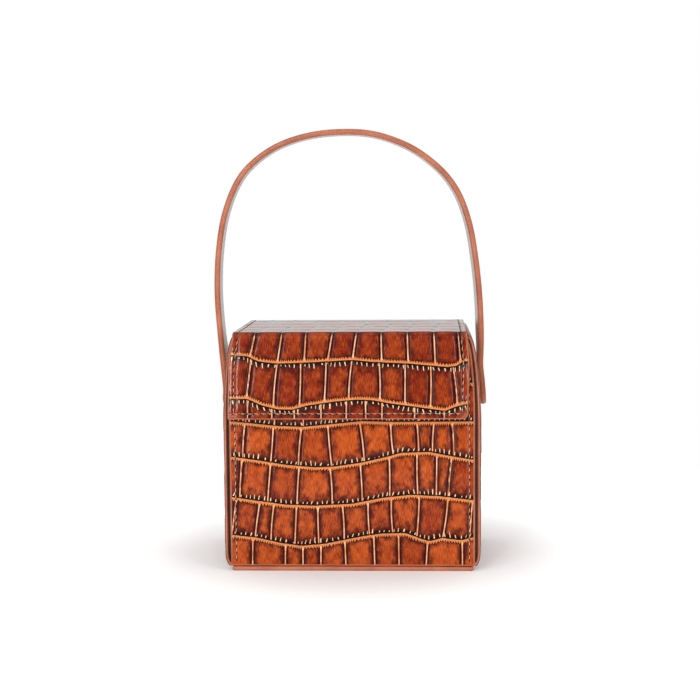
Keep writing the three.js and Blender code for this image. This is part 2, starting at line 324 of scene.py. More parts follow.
def leather_sheet(name, route, width_axis, left, right, columns, runs, thickness, edge, dress,
                  materials, shift=None):
    """One sheet of leather with a rounded, painted edge all round.

    left and right give the sheet's sides at a run, runs are the runs that get a row of vertices, and
    dress gives the relief and the named attributes of points on the face."""
    rings = EDGE_RINGS
    shape = bmesh.new()
    rows = len(runs) - 1
    across_count = columns + 2 * rings
    along_count = rows + 2 * rings
    bmesh.ops.create_grid(shape, x_segments=across_count, y_segments=along_count, size=1)
    mesh = bpy.data.meshes.new(name)
    shape.to_mesh(mesh)
    shape.free()
    count = len(mesh.vertices)
    flat = np.empty(count * 3)
    mesh.vertices.foreach_get("co", flat)
    flat = flat.reshape(-1, 3)
    column = np.rint((flat[:, 0] + 1) / 2 * across_count).astype(int) - rings
    row = np.rint((flat[:, 1] + 1) / 2 * along_count).astype(int) - rings
    beyond = column - np.clip(column, 0, columns)
    past = row - np.clip(row, 0, rows)
    ring = np.maximum(abs(beyond), abs(past))
    run = np.array(runs)[np.clip(row, 0, rows)]
    low = left(run) + edge
    high = right(run) - edge
    across = low + (high - low) * np.clip(column, 0, columns) / columns
    turn = np.where(abs(beyond) >= abs(past), abs(past) / np.maximum(abs(beyond), 1),
                    2 - abs(beyond) / np.maximum(abs(past), 1)) * math.pi / 4
    bulge = math.pi * ring / rings
    out = edge * np.sin(bulge)
    depth = thickness / 2 * (1 - np.cos(bulge))
    relief, marks = dress(across, run)
    relief = relief * (ring == 0)
    centre, along, outward = route.at(run)
    axis = np.array(width_axis, float)
    place = centre + across[:, None] * axis
    place += axis * (np.sign(beyond) * np.cos(turn) * out)[:, None]
    place += along * (np.sign(past) * np.sin(turn) * out)[:, None]
    place += outward * (relief - depth)[:, None]
    if shift is not None:
        place += shift(across, run, place)
    mesh.vertices.foreach_set("co", place.ravel())
    for title, numbers in marks.items():
        mesh.attributes.new(title, "FLOAT", "POINT").data.foreach_set("value", numbers)
    corner = np.empty(len(mesh.loops), int)
    mesh.loops.foreach_get("vertex_index", corner)
    laid = mesh.uv_layers.new(name="laid_flat")
    spread = np.stack([across + np.sign(beyond) * out, run + np.sign(past) * out], axis=-1)
    laid.data.foreach_set("uv", (spread[corner] * 10).ravel())
    tag = mesh.attributes.new("grid_column", "INT", "POINT")
    tag.data.foreach_set("value", column)

    shape = bmesh.new()
    shape.from_mesh(mesh)
    tagged = shape.verts.layers.int["grid_column"]
    for face in shape.faces:
        face.smooth = True
        on_face = all(ring[v.index] == 0 for v in face.verts)
        face.material_index = 0 if on_face else 1
    borders = [e for e in shape.edges if e.is_boundary]
    sides = [
        e for e in borders
        if e.verts[0][tagged] == e.verts[1][tagged]
        and e.verts[0][tagged] in (-rings, columns + rings)
    ]
    closing = bmesh.ops.bridge_loops(shape, edges=sides)["faces"]
    ends = [e for e in shape.edges if e.is_boundary]
    closing += bmesh.ops.holes_fill(shape, edges=ends, sides=0)["faces"]
    for face in closing:
        face.material_index = 2
        face.smooth = False
    bmesh.ops.recalc_face_normals(shape, faces=shape.faces)
    bmesh.ops.triangulate(shape, faces=[f for f in shape.faces if len(f.verts) > 4])
    shape.to_mesh(mesh)
    shape.free()
    for material in materials:
        mesh.materials.append(material)
    return mesh


def even(length, step):
    """Runs from 0 to a length, a step apart."""
    return np.linspace(0, length, max(int(round(length / step)), 1) + 1)


def fixed(number):
    return lambda run: np.full_like(run, number)


def bare_face(across, run):
    return np.zeros_like(across), {}


base_half = base_high.x
base_route = Route(
    [(base_low.y + BASE_EDGE, base_low.z), (base_high.y - BASE_EDGE, base_low.z)], YZ, 1
)
base_mesh = leather_sheet(
    "base_panel_leather", base_route, (1, 0, 0), fixed(-base_half), fixed(base_half),
    60, even(base_route.length, 2.5 * MM), base_high.z - base_low.z, BASE_EDGE, bare_face,
    (BASE_HIDE, EDGE_PAINT, BASE_HIDE),
)
link_piece("base_panel_leather", base_mesh, "plain_leather", "base_panel")

# Crocodile leather. Calf hide is pressed between hot plates into rows of scales, stained cognac, burnt
# darker round each scale, rubbed back to orange on the raised lips and glazed. The colour also holds
# painted light: near-black painted shade in the groove behind each lip, and painted highlights on the
# lips, the ticks and the crests between scales.
SCALE_LIP = 1.0  # mm, the light lip along a row's edge
SCALE_GROOVE = 0.7  # mm, the black groove beyond it
DIVIDER = 0.32  # mm, half the light line between two scales of a row
TICK_PITCH = 3.2  # mm
TEETH_PITCH = 0.72  # mm, half a pitch of the lip's teeth
HIDE_GLOSS = 0.3  # how much of the glaze is left where the hide isn't polished again
COGNAC = linear(110, 22, 4), linear(208, 96, 34)
BURNT = linear(72, 9, 3)
CHARRED = linear(20, 1, 1)
# Near-black in the groove behind each lip: painted shade cast by the overlapping lip, partly dark stain.
GROOVE_SHADE_AND_STAIN = linear(10, 2, 2)
# Cream ticks from the groove into each scale: partly the hide's pattern, partly painted highlights.
TICK_AND_HIGHLIGHT = linear(252, 212, 166)
DIVIDER_SIDE = linear(190, 84, 38)
# Light crest of the line between two scales: partly paler hide, partly a painted highlight.
DIVIDER_CREST_AND_HIGHLIGHT = linear(218, 138, 82), linear(244, 206, 168)
# Orange lip along a row's edge: partly rubbed-back hide, partly a painted highlight on the raised edge.
LIP_AND_HIGHLIGHT = linear(188, 90, 40), linear(234, 148, 82)


def crocodile_leather():
    """Stains, with painted shade in the grooves and painted highlights on lips, ticks and divider crests,
    measured in mm from the groove behind (shade), the lip ahead (rim) and the nearest line between two
    scales (divide), broken up by noise that is stretched along the scales."""
    material, tree, shader = new_material("crocodile_leather", 0.34, 1.0, 0.07, 0.06)
    laid = tree.nodes.new("ShaderNodeUVMap")
    laid.uv_map = "laid_flat"
    laid = laid.outputs["UV"]

    def mark(name):
        node = tree.nodes.new("ShaderNodeAttribute")
        node.attribute_name = name
        return node.outputs["Fac"]

    def plus(first, second):
        return work(tree, "ADD", first, second)

    def minus(first, second):
        return work(tree, "SUBTRACT", first, second)

    def times(first, second, added=0.0):
        return work(tree, "MULTIPLY_ADD", first, second, added)

    def least(first, second):
        return work(tree, "MINIMUM", first, second)

    def most(first, second):
        return work(tree, "MAXIMUM", first, second)

    def noise(scales, detail, roughness):
        return speckle(tree, stretched(tree, laid, scales), 1.0, detail, roughness)

    def spread(value, reach):
        return times(minus(value, 0.5), reach)

    row_share = work(tree, "FRACT", mark("row_level"))
    scale_share = work(tree, "FRACT", mark("scale_level"))
    shade = times(row_share, mark("row_height"))
    rim = times(minus(1.0, row_share), mark("row_height"))
    divide = times(least(scale_share, minus(1.0, scale_share)), mark("scale_width"))
    divide = times(mark("on_lid"), 0.45, divide)
    across = mark("across_mm")

    streaks = noise((330, 26, 1), 4, 0.65)
    mottle = noise((26, 17, 1), 4, 0.6)
    fine = noise((420, 160, 1), 3, 0.6)
    ragged = noise((130, 60, 1), 3, 0.65)
    sway = minus(speckle(tree, laid, 11, 0), 0.5)
    strokes = spread(streaks, 2.6)

    tone = plus(times(streaks, 0.8), times(mottle, 0.35))
    tone = plus(tone, spread(mark("tile"), 0.16))
    hide = blend(tree, fade(tree, tone, 0.41, 0.88), *COGNAC)

    nearest = least(least(times(shade, 0.5), times(rim, 0.8)), times(divide, 0.9))
    around = plus(plus(nearest, strokes), spread(mottle, 8.0))
    hide = blend(tree, fade(tree, around, 0.6, 4.8, 0.97, 0.0), hide, BURNT)
    from_groove = fade(tree, plus(shade, spread(ragged, 2.2)), 1.0, 4.0, 1.0, 0.0)
    from_lip = fade(tree, plus(rim, strokes), 1.3, 3.4, 0.95, 0.0)
    beside = fade(tree, times(strokes, 0.35, divide), 0.7, 2.3, 1.0, 0.0)
    hide = blend(tree, most(most(from_groove, from_lip), beside), hide, CHARRED)

    slant = times(sway, 5.0, times(shade, -0.1, across))
    beat = work(tree, "PINGPONG", slant, TICK_PITCH / 2)
    reach = times(sway, 5.0, times(mottle, 3.8, 1.3))
    tip = work(tree, "DIVIDE", shade, most(reach, 0.5), clamp=True)
    tick = fade(tree, minus(beat, times(tip, -0.12, 0.32)), -0.14, 0.12, 1.0, 0.0)
    tick = times(tick, fade(tree, shade, 0.85, 1.15))
    tick = times(tick, fade(tree, tip, 0.85, 1.0, 1.0, 0.0))
    tick = times(tick, fade(tree, ragged, 0.3, 0.5, 0.6, 1.0))
    # Cream ticks: partly the hide's pattern, partly painted highlight.
    hide = blend(tree, tick, hide, TICK_AND_HIGHLIGHT)

    flare = times(work(tree, "EXPONENT", times(rim, -0.8)), 1.1)
    line = minus(divide, plus(flare, spread(fine, 0.25)))
    halo = fade(tree, line, DIVIDER, DIVIDER + 0.3, 1.0, 0.0)
    core = fade(tree, line, DIVIDER - 0.2, DIVIDER + 0.05, 1.0, 0.0)
    hide = blend(tree, halo, hide, DIVIDER_SIDE)
    # The divider's crest: cream, partly paler hide, partly painted highlight.
    hide = blend(tree, core, hide, blend(tree, fade(tree, mottle, 0.35, 0.65), *DIVIDER_CREST_AND_HIGHLIGHT))

    teeth = work(tree, "PINGPONG", times(sway, 5.0, across), TEETH_PITCH)
    lip = minus(rim, times(teeth, times(ragged, 4.0, 0.1)))
    lip = fade(tree, lip, SCALE_LIP - 0.35, SCALE_LIP - 0.05, 1.0, 0.0)
    # The lip: orange, partly rubbed-back hide, partly painted highlight.
    hide = blend(tree, lip, hide, blend(tree, fade(tree, fine, 0.3, 0.7), *LIP_AND_HIGHLIGHT))
    # The groove behind each lip: near-black, partly painted shade, partly stain.
    groove = fade(tree, shade, SCALE_GROOVE - 0.15, SCALE_GROOVE + 0.2, 1.0, 0.0)
    hide = blend(tree, groove, hide, GROOVE_SHADE_AND_STAIN)
    tree.links.new(hide, shader.inputs["Base Color"])

    tree.links.new(mark("gloss"), shader.inputs["Coat Weight"])
    tree.links.new(fade(tree, mottle, 0.3, 0.7, 0.28, 0.4), shader.inputs["Roughness"])
    raise_grain(tree, shader, plus(times(streaks, 0.6), times(fine, 0.4)), 0.12 * MM, 0.5)
    return material


CROC = crocodile_leather()
LINING_HIDE = plain_hide("lining_hide", linear(58, 26, 16), linear(82, 38, 24))


class Scales:
    """Rows of scales on a flat sheet, in mm. A line closes each row, and dividers part its scales.

    lines are lists of (across, run) points in rising run. rows hold, for the row beyond each line and
    the one before the first, its dividers as pairs: across at the line before it and at the line after."""

    def __init__(self, lines, rows, seed, tones=(0.2, 0.8)):
        self.grid = np.linspace(-90, 90, 721)
        rng = np.random.default_rng(seed)
        self.lines = []
        for points in lines:
            points = sorted(points)
            level = np.interp(self.grid, [p[0] for p in points], [p[1] for p in points])
            window = np.hanning(17)
            padded = np.pad(level, 8, mode="edge")
            self.lines.append(np.convolve(padded, window / window.sum(), mode="valid"))
        self.rows = rows
        self.tones = rng.uniform(*tones, (len(rows), 40))
        self.bends = rng.uniform(-0.5, 0.5, (len(rows), 40))

    def marks(self, across, run):
        """How far along its row and its scale each point is, with the row's height, the scale's width
        and a tone for each scale. These change evenly from point to point, also over the lines."""
        levels = np.array([np.interp(across, self.grid, line) for line in self.lines])
        tilts = [np.gradient(line, self.grid) for line in self.lines]
        slopes = np.array([np.interp(across, self.grid, tilt) for tilt in tilts])
        levels = np.concatenate([levels[:1] - 40, levels, levels[-1:] + 40])
        leans = 1 / np.sqrt(1 + np.concatenate([slopes[:1], slopes, slopes[-1:]]) ** 2)
        picks = np.arange(len(across))
        row = (run[None, :] >= levels[1:-1]).sum(axis=0)
        low, high = levels[row, picks], levels[row + 1, picks]
        share = np.clip((run - low) / (high - low), 0, 1)
        lean = leans[row, picks] * (1 - share) + leans[row + 1, picks] * share
        scale_level = np.zeros_like(across)
        scale_width = np.ones_like(across)
        tile = np.zeros_like(across)
        for number, dividers in enumerate(self.rows):
            here = row == number
            if not here.any():
                continue
            x, t = across[here], share[here]
            middles = np.array([
                start + (end - start) * t + self.bends[number, k] * np.sin(math.pi * t)
                for k, (start, end) in enumerate(dividers)
            ])
            middles = np.concatenate([middles[:1] - 60, middles, middles[-1:] + 60])
            scale = (x >= middles[1:-1]).sum(axis=0)
            spots = np.arange(len(x))
            left, right = middles[scale, spots], middles[scale + 1, spots]
            scale_level[here] = scale + np.clip((x - left) / (right - left), 0, 1)
            scale_width[here] = right - left
            tile[here] = self.tones[number, scale]
        return {
            "row_level": row + share, "row_height": (high - low) * lean, "scale_level": scale_level,
            "scale_width": scale_width, "tile": tile, "across_mm": across,
            "gloss": np.full_like(across, HIDE_GLOSS),
        }


def line_distances(marks):
    """Distances in mm to the groove behind, the lip ahead and the nearest divider."""
    along = marks["row_level"] % 1
    beside = marks["scale_level"] % 1
    shade = along * marks["row_height"]
    rim = (1 - along) * marks["row_height"]
    return shade, rim, np.minimum(beside, 1 - beside) * marks["scale_width"]


def scale_relief(marks):
    """Height of the pressed scales above the hide, in mm."""
    shade, rim, divide = line_distances(marks)
    inside = np.clip(np.minimum(np.minimum(shade - SCALE_GROOVE, rim), divide), 0, None)
    dome = 0.42 * (1 - np.exp(-inside / 2.6))
    groove = -0.42 * np.exp(-((shade - 0.3) / 0.42) ** 2)
    lip = 0.16 * np.exp(-((rim - 0.5) / 0.5) ** 2)
    valley = -0.24 * np.exp(-(divide / 1.0) ** 2)
    ridge = 0.17 * np.exp(-(divide / 0.36) ** 2)
    return dome + groove + lip + valley + ridge - 0.2


def grown_scales(width, length, row_pitch, scale_pitch, seed):
    """Rows of scales for a face that the photo doesn't show, with the same pitch and wander."""
    rng = np.random.default_rng(seed)
    lines = []
    rows = [[]]
    half = width / 2
    spots = np.linspace(-half - 5, half + 5, 13)
    for number in range(int(length / row_pitch)):
        level = (number + 0.6) * row_pitch + rng.uniform(-1.5, 1.5)
        wave = 2.2 * np.sin(spots / rng.uniform(9, 15) + rng.uniform(0, 6)) + rng.uniform(-0.9, 0.9, 13)
        lines.append(list(zip(spots, level + wave)))
        rows.append([])
    for row in rows:
        x = -half - rng.uniform(0, scale_pitch)
        while x < half + scale_pitch:
            lean = rng.uniform(-2.0, 2.0)
            row.append((x, x + lean))
            x += scale_pitch * rng.uniform(0.8, 1.2)
    return Scales(lines, rows, seed)


# Gussets. The two bowed sides are single sheets, turned in at the foot and leaning in under the lid.
# Their front and back edges stand beside the panels' edges, painted tan.
GUSSET_THICKNESS = 2.1
GUSSET_EDGE = 0.8
FOOT_RISE = 9.0
FOOT_INSET = 3.6
SHOULDER_RISE = 60.0
SHOULDER_INSET = 7.2
BELLY = 1.8
HALF_WIDTH = 80.0
GUSSET_COLUMNS = 128
GUSSET_STEP = 0.8
SKIN = 0.15  # the dressed sheet stands this far outside the plain solid that it covers
panel_low, panel_high = (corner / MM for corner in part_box("front_panel"))
gusset_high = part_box("gusset_right")[1] / MM


def gusset_face(z):
    foot = np.clip((panel_low.z + FOOT_RISE - z) / FOOT_RISE, 0, 1)
    shoulder = np.clip((z - panel_high.z) / SHOULDER_RISE + 1, 0, 1)
    lean_in = FOOT_INSET * (1 - np.sqrt(1 - foot ** 2))
    return HALF_WIDTH - lean_in - SHOULDER_INSET * (1 - np.sqrt(1 - shoulder ** 2))


def belly_at(y, z):
    rise = np.clip((z - panel_low.z) / (panel_high.z - panel_low.z), 0, 1)
    return BELLY * np.clip(1 - (y / gusset_high.y) ** 2, 0, None) * np.sin(math.pi * rise)


turns = np.linspace(0, math.pi / 2, 40)
gusset_levels = np.concatenate([
    panel_low.z + FOOT_RISE * (1 - np.cos(turns)) + 0.02,
    np.linspace(panel_low.z + FOOT_RISE + 1, panel_high.z - SHOULDER_RISE, 20),
    panel_high.z - SHOULDER_RISE * (1 - np.sin(turns[1:-2])),
])


def make_gusset(name, side, seed):
    profile = [((side * (gusset_face(z) + SKIN)) * MM, z * MM) for z in gusset_levels]
    route = Route(profile, XZ, side)
    depth = gusset_high.y + 0.1
    scales = grown_scales(2 * depth, route.length / MM, 23, 15, seed)

    def dress(across, run):
        marks = scales.marks(across / MM, run / MM)
        return scale_relief(marks) * MM, marks

    def shift(across, run, place):
        bow = belly_at(across / MM, place[:, 2] / MM) * side * MM
        return bow[:, None] * np.array((1.0, 0, 0))

    mesh = leather_sheet(
        name, route, (0, 1, 0), fixed(-depth * MM), fixed(depth * MM), GUSSET_COLUMNS,
        even(route.length, GUSSET_STEP * MM), GUSSET_THICKNESS * MM, GUSSET_EDGE * MM, dress,
        (CROC, EDGE_PAINT, LINING_HIDE), shift,
    )
    link_piece(name, mesh, "croc_leather")


make_gusset("gusset_right_leather", 1, 11)
make_gusset("gusset_left_leather", -1, 12)


def finish_solid(node, material):
    """Gives a plain solid that shows in the dressed bag its finish."""
    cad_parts[node].data.materials.clear()
    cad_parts[node].data.materials.append(material)


finish_solid("gusset_left", LINING_HIDE)
finish_solid("gusset_right", LINING_HIDE)

# Front panel. One stiff sheet of crocodile leather, its scales pressed the other way up from the
# flap's, with a painted edge and a row of stitches along each side.
PANEL_EDGE = 1.15
PANEL_GROOVE = 1.2
LIP_SEAM = 0.3
LID_INSET = 7.5
STITCH_INSET = 3.7
STITCH_PITCH = 4.25
SEAM_DENT = 0.12  # mm that a row of stitches pulls the hide in
SEAM_REACH = 0.7  # mm to each side
SHEET_COLUMNS = 250
PANEL_STEP = 0.62
CHART_STEP = 0.1213  # mm on the front panel for one step of the chart
CHART_MIDDLE = 800
CHART_FOOT = 1417
CHART_LEAN = 0.0075  # the photograph's slight roll
CHART_SQUEEZE = 0.985  # across against down

# Lines between the front panel's rows, from the foot up, charted: (across, down) in chart steps.
PANEL_LINES = [
    [(165, 1228), (300, 1243), (420, 1270), (530, 1285), (650, 1275), (750, 1255), (850, 1235),
     (950, 1220), (1080, 1218), (1150, 1245), (1200, 1260), (1270, 1243), (1370, 1255), (1420, 1240)],
    [(165, 1030), (300, 1050), (450, 1070), (600, 1075), (800, 1065), (950, 1035), (1100, 1018),
     (1250, 1025), (1420, 1045)],
    [(165, 820), (300, 838), (450, 862), (600, 875), (700, 872), (850, 850), (980, 820), (1050, 800),
     (1200, 795), (1300, 815), (1420, 835)],
    [(165, 636), (260, 645), (400, 660), (540, 665), (700, 650), (850, 635), (1000, 640), (1420, 638)],
    [(165, 430), (500, 450), (900, 425), (1420, 440)],
]

# Each row's dividers, from the foot up: across at the row's top and at its foot.
PANEL_DIVIDERS = [
    [(275, 265), (447, 447), (538, 537), (633, 635), (758, 772), (910, 920), (1040, 1048),
     (1192, 1178), (1372, 1368)],
    [(190, 165), (313, 287), (387, 370), (505, 495), (617, 622), (745, 755), (880, 888),
     (1002, 1010), (1147, 1135), (1297, 1270), (1425, 1410)],
    [(220, 207), (370, 353), (520, 507), (680, 692), (838, 850), (990, 993), (1135, 1140),
     (1238, 1236), (1315, 1298)],
    [(237, 225), (385, 370), (533, 515), (670, 690), (835, 860), (997, 1012), (1133, 1143),
     (1222, 1215), (1315, 1325)],
    [(240, 240), (400, 390), (540, 540), (690, 690), (840, 840), (990, 990), (1140, 1140), (1300, 1300)],
    [(240, 240), (400, 400), (560, 560), (720, 720), (880, 880), (1040, 1040), (1200, 1200)],
]


def charted(across, down, step, foot):
    """A chart point as mm across from the middle and mm up from the chart's foot."""
    rise = (foot - down) * step
    return (across - CHART_MIDDLE) * step * CHART_SQUEEZE + CHART_LEAN * rise, rise


def panel_half(z):
    shoulder = np.clip((z - panel_high.z) / SHOULDER_RISE + 1, 0, 1)
    groove = PANEL_GROOVE + (LIP_SEAM - PANEL_GROOVE) * shoulder
    lean_in = SHOULDER_INSET * (1 - np.sqrt(1 - shoulder ** 2))
    return np.maximum(HALF_WIDTH - lean_in - GUSSET_THICKNESS - groove, HALF_WIDTH - LID_INSET)


panel_lines = [[charted(a, d, CHART_STEP, CHART_FOOT) for a, d in line] for line in PANEL_LINES]
panel_rows = []
for number, dividers in enumerate(PANEL_DIVIDERS):
    upper = PANEL_LINES[min(number, len(PANEL_LINES) - 1)][0][1]
    row = []
    for top, foot in dividers:
        top_x, _ = charted(top, upper, CHART_STEP, CHART_FOOT)
        foot_x, _ = charted(foot, upper + 200, CHART_STEP, CHART_FOOT)
        row.append((foot_x, top_x))
    panel_rows.append(row)
panel_scales = Scales(panel_lines, panel_rows, 21, (0.4, 1.1))
panel_foot = panel_low.z + PANEL_EDGE
panel_head = panel_high.z - PANEL_EDGE
panel_route = Route(np.array([(panel_low.y, panel_foot), (panel_low.y, panel_head)]) * MM, YZ, -1)


def dress_panel(across, run):
    x = across / MM
    z = run / MM + panel_foot
    marks = panel_scales.marks(x, z)
    seam = abs(abs(x) - (panel_half(z) - STITCH_INSET))
    relief = scale_relief(marks) - SEAM_DENT * np.exp(-(seam / SEAM_REACH) ** 2)
    return relief * MM, marks


def panel_side(run):
    return panel_half(run / MM + panel_foot) * MM


panel_mesh = leather_sheet(
    "front_panel_leather", panel_route, (1, 0, 0), lambda run: -panel_side(run), panel_side,
    SHEET_COLUMNS, even(panel_route.length, PANEL_STEP * MM), (panel_high.y - panel_low.y) * MM,
    PANEL_EDGE * MM, dress_panel, (CROC, EDGE_PAINT, LINING_HIDE),
)
link_piece("front_panel_leather", panel_mesh, "croc_leather", "front_panel")


def thread_material():
    """Waxed linen thread, light tan, darker in the twist."""
    material, tree, shader = new_material("waxed_thread", 0.45, 0.1)
    place = object_place(tree)
    twist = speckle(tree, stretched(tree, place, (2600, 2600, 2600)), 1.0, 2, 0.5)
    tone = blend(tree, fade(tree, twist, 0.35, 0.65), linear(186, 130, 98), linear(238, 200, 170))
    tree.links.new(tone, shader.inputs["Base Color"])
    raise_grain(tree, shader, twist, 0.05 * MM, 0.5)
    return material


def hole_shade_material():
    """Painted shade: a near-black disc that stands for the shadow in the mouth of an awl hole."""
    material, tree, shader = new_material("awl_hole_shade", 0.8, 0, 0.1, 0.1)
    place = object_place(tree)
    # Painted shade: near-black tone for the hole's disc.
    hole_shade_tone = blend(tree, speckle(tree, place, 900), linear(2, 1, 1), linear(8, 3, 2))
    tree.links.new(hole_shade_tone, shader.inputs["Base Color"])
    return material


THREAD = thread_material()
AWL_HOLE_SHADE = hole_shade_material()
THREAD_WIDTH = 0.42 * MM
THREAD_RISE = 0.2 * MM
THREAD_SHARE = 0.3  # half a thread's length as a share of the pitch
HOLE_WIDTH = 1.1 * MM
HOLE_LENGTH = 1.3 * MM
HOLE_RIM = 0.14 * MM
STITCH_LIFT = 0.1 * MM


def one_stitch():
    """A round thread and, at its start, the dished hole as a near-black disc of painted shade, as a mesh
    one unit long, wide and high.
    """
    shape = bmesh.new()
    bmesh.ops.create_uvsphere(
        shape, u_segments=8, v_segments=6, radius=1, matrix=Matrix.Rotation(math.pi / 2, 4, "Y"),
    )
    made = bmesh.ops.create_uvsphere(shape, u_segments=8, v_segments=4, radius=1)
    for face in {f for v in made["verts"] for f in v.link_faces}:
        face.material_index = 1
    for face in shape.faces:
        face.smooth = True
    mesh = bpy.data.meshes.new("one_stitch")
    shape.to_mesh(mesh)
    threads = len(shape.verts) - len(made["verts"])
    shape.free()
    return mesh, threads


STITCH, THREAD_POINTS = one_stitch()
stitch_points = np.empty(len(STITCH.vertices) * 3)
STITCH.vertices.foreach_get("co", stitch_points)
stitch_points = stitch_points.reshape(-1, 3)


def unit(vectors):
    return vectors / np.linalg.norm(vectors, axis=-1)[..., None]


def sew_along(path, normals, slant):
    """Where the points of each stitch along a path lie: the thread slants from hole to hole."""
    path = np.array(path, float)
    steps = np.linalg.norm(np.diff(path, axis=0), axis=1)
    run = np.concatenate([[0], np.cumsum(steps)])
    stops = np.linspace(0, run[-1], max(int(run[-1] // (STITCH_PITCH * MM)), 1) + 1)
    spots = np.stack([np.interp(stops, run, path[:, k]) for k in range(3)], axis=-1)
    faces = np.stack([np.interp(stops, run, np.array(normals)[:, k]) for k in range(3)], axis=-1)
    here, there = spots[:-1], spots[1:]
    normal = unit(faces[:-1] + faces[1:])
    along = unit(there - here)
    leaned = unit(along + np.cross(normal, along) * slant)
    aside = np.cross(normal, leaned)
    length = np.linalg.norm(there - here, axis=1) * THREAD_SHARE
    sewn = np.empty((len(here), len(stitch_points), 3))
    for first, last, middle, sizes in (
        (0, THREAD_POINTS, (here + there) / 2 + normal * THREAD_RISE * 0.15,
         (length, THREAD_WIDTH / 2, THREAD_RISE)),
        (THREAD_POINTS, None, here, (HOLE_LENGTH / 2, HOLE_WIDTH / 2, HOLE_RIM)),
    ):
        part = stitch_points[first:last]
        spread = [np.outer(np.broadcast_to(size, len(here)), part[:, k]) for k, size in enumerate(sizes)]
        sewn[:, first:last] = middle[:, None]
        for shares, direction in zip(spread, (leaned, aside, normal)):
            sewn[:, first:last] += shares[..., None] * direction[:, None]
    return sewn.reshape(-1, 3)


def sewn_piece(name, rows, slant=0.1):
    places = np.concatenate([sew_along(path, normals, slant) for path, normals in rows])
    shape = bmesh.new()
    for _ in range(len(places) // len(stitch_points)):
        shape.from_mesh(STITCH)
    mesh = bpy.data.meshes.new(name)
    shape.to_mesh(mesh)
    shape.free()
    mesh.vertices.foreach_set("co", places.ravel())
    mesh.materials.append(THREAD)
    mesh.materials.append(AWL_HOLE_SHADE)
    return link_piece(name, mesh, "croc_leather")


def on_surface(route, axis, across, run, dress, lift, shift=None):
    """A path along a sheet's pressed face, with the way out of the face at each point."""
    centre, _, outward = route.at(run)
    relief, _ = dress(across, run)
    place = centre + across[:, None] * np.array(axis, float) + outward * (relief + lift)[:, None]
    if shift is not None:
        place = place + shift(across, run, place)
    return place, outward


panel_seams = []
for side in (-1, 1):
    levels = np.linspace(panel_low.z + 4, panel_high.z - 5, 400)
    across = side * (panel_half(levels) - STITCH_INSET) * MM
    run = (levels - panel_foot) * MM
    panel_seams.append(on_surface(panel_route, (1, 0, 0), across, run, dress_panel, STITCH_LIFT))
sewn_piece("front_panel_stitches", panel_seams)

# Wrap. One long sheet rises as the back, turns over as the lid and hangs down as the front flap. It
# sits slightly askew, widens below the crease, and is stitched along both sides and across the flap.
WRAP_THICKNESS = 2.4
WRAP_EDGE = 0.85
BEND = 3.4
FLAP_INSET = 5.4
FLAP_SPREAD = 22.0
FLAP_DROP = 54.3
FLAP_CORNER_LEFT = 1.2
FLAP_CORNER_RIGHT = 3.6
CREASE_DRIFT = -1.0
TIP_DRIFT = -2.5
FLAP_STEP = 0.1183  # mm on the flap for one step of the chart
FLAP_CREASE = 167  # chart steps down to the top of the lid
wrap_low, wrap_high = (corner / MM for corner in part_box("back_lid_flap"))
lid_half = HALF_WIDTH - LID_INSET
flap_half = HALF_WIDTH - FLAP_INSET
bend_z = wrap_high.z - BEND
crease_y = wrap_low.y + BEND

# The flap's two lines and its three rows of dividers, charted as the front panel's are. Each divider
# is across at the row's upper line and at its lower line.
FLAP_LINES = [
    [(160, 285), (240, 290), (300, 318), (400, 330), (550, 325), (800, 312), (900, 322),
     (1100, 332), (1300, 350), (1350, 345), (1385, 320)],
    [(150, 515), (240, 515), (320, 550), (400, 570), (480, 572), (560, 550), (700, 530),
     (820, 520), (900, 522), (1000, 540), (1150, 560), (1290, 580), (1340, 560), (1395, 545)],
]
FLAP_DIVIDERS = [
    [(280, 255), (422, 400), (552, 543), (690, 668), (825, 800), (955, 955), (1090, 1095),
     (1230, 1238), (1352, 1370)],
    [(262, 235), (400, 378), (525, 517), (660, 650), (797, 780), (940, 945), (1078, 1078),
     (1213, 1212), (1330, 1355)],
    [(240, 240), (370, 370), (490, 490), (632, 632), (768, 768), (868, 868), (957, 957),
     (1130, 1130), (1285, 1285)],
]
EDGE_ROLL = 7.0  # mm, width of the polished border, pressed down along the flap's sides
EDGE_FALL = 0.055  # mm down for each mm outwards
WRAP_STEP = 1.05
FLAP_FACE_STEP = 0.55
LID_LINES = (32.0, 9.0, -12.0, -34.0)  # mm in front of or behind the middle, from the back

wrap_foot = wrap_low.z + WRAP_EDGE
arc = np.linspace(0, math.pi / 2, 13)
wrap_profile = [(wrap_high.y, z) for z in np.linspace(wrap_foot, bend_z, 60)[:-1]]
wrap_profile += [(wrap_high.y - BEND + BEND * math.cos(t), bend_z + BEND * math.sin(t)) for t in arc]
wrap_profile += [(y, wrap_high.z) for y in np.linspace(wrap_high.y - BEND, crease_y, 50)[1:-1]]
wrap_profile += [(crease_y - BEND * math.sin(t), bend_z + BEND * math.cos(t)) for t in arc]
flap_tip = wrap_high.z - FLAP_DROP + WRAP_EDGE
wrap_profile += [(wrap_low.y, z) for z in np.linspace(bend_z, flap_tip, 40)[1:]]
wrap_route = Route(np.array(wrap_profile) * MM, YZ, 1)
back_run = bend_z - wrap_foot
lid_start = back_run + BEND * math.pi / 2
lid_run = wrap_high.y - BEND - crease_y
flap_start = lid_start + lid_run + BEND * math.pi / 2
flap_run = bend_z - (wrap_high.z - FLAP_DROP)


def run_at_drop(drop):
    """The run of a point on the flap that lies this far below the top of the lid."""
    return flap_start - BEND + drop


def wrap_middle(run):
    on_lid = np.clip((run - lid_start) / lid_run, 0, 1)
    on_flap = np.clip((run - flap_start) / flap_run, 0, 1)
    return CREASE_DRIFT * on_lid + (TIP_DRIFT - CREASE_DRIFT) * on_flap


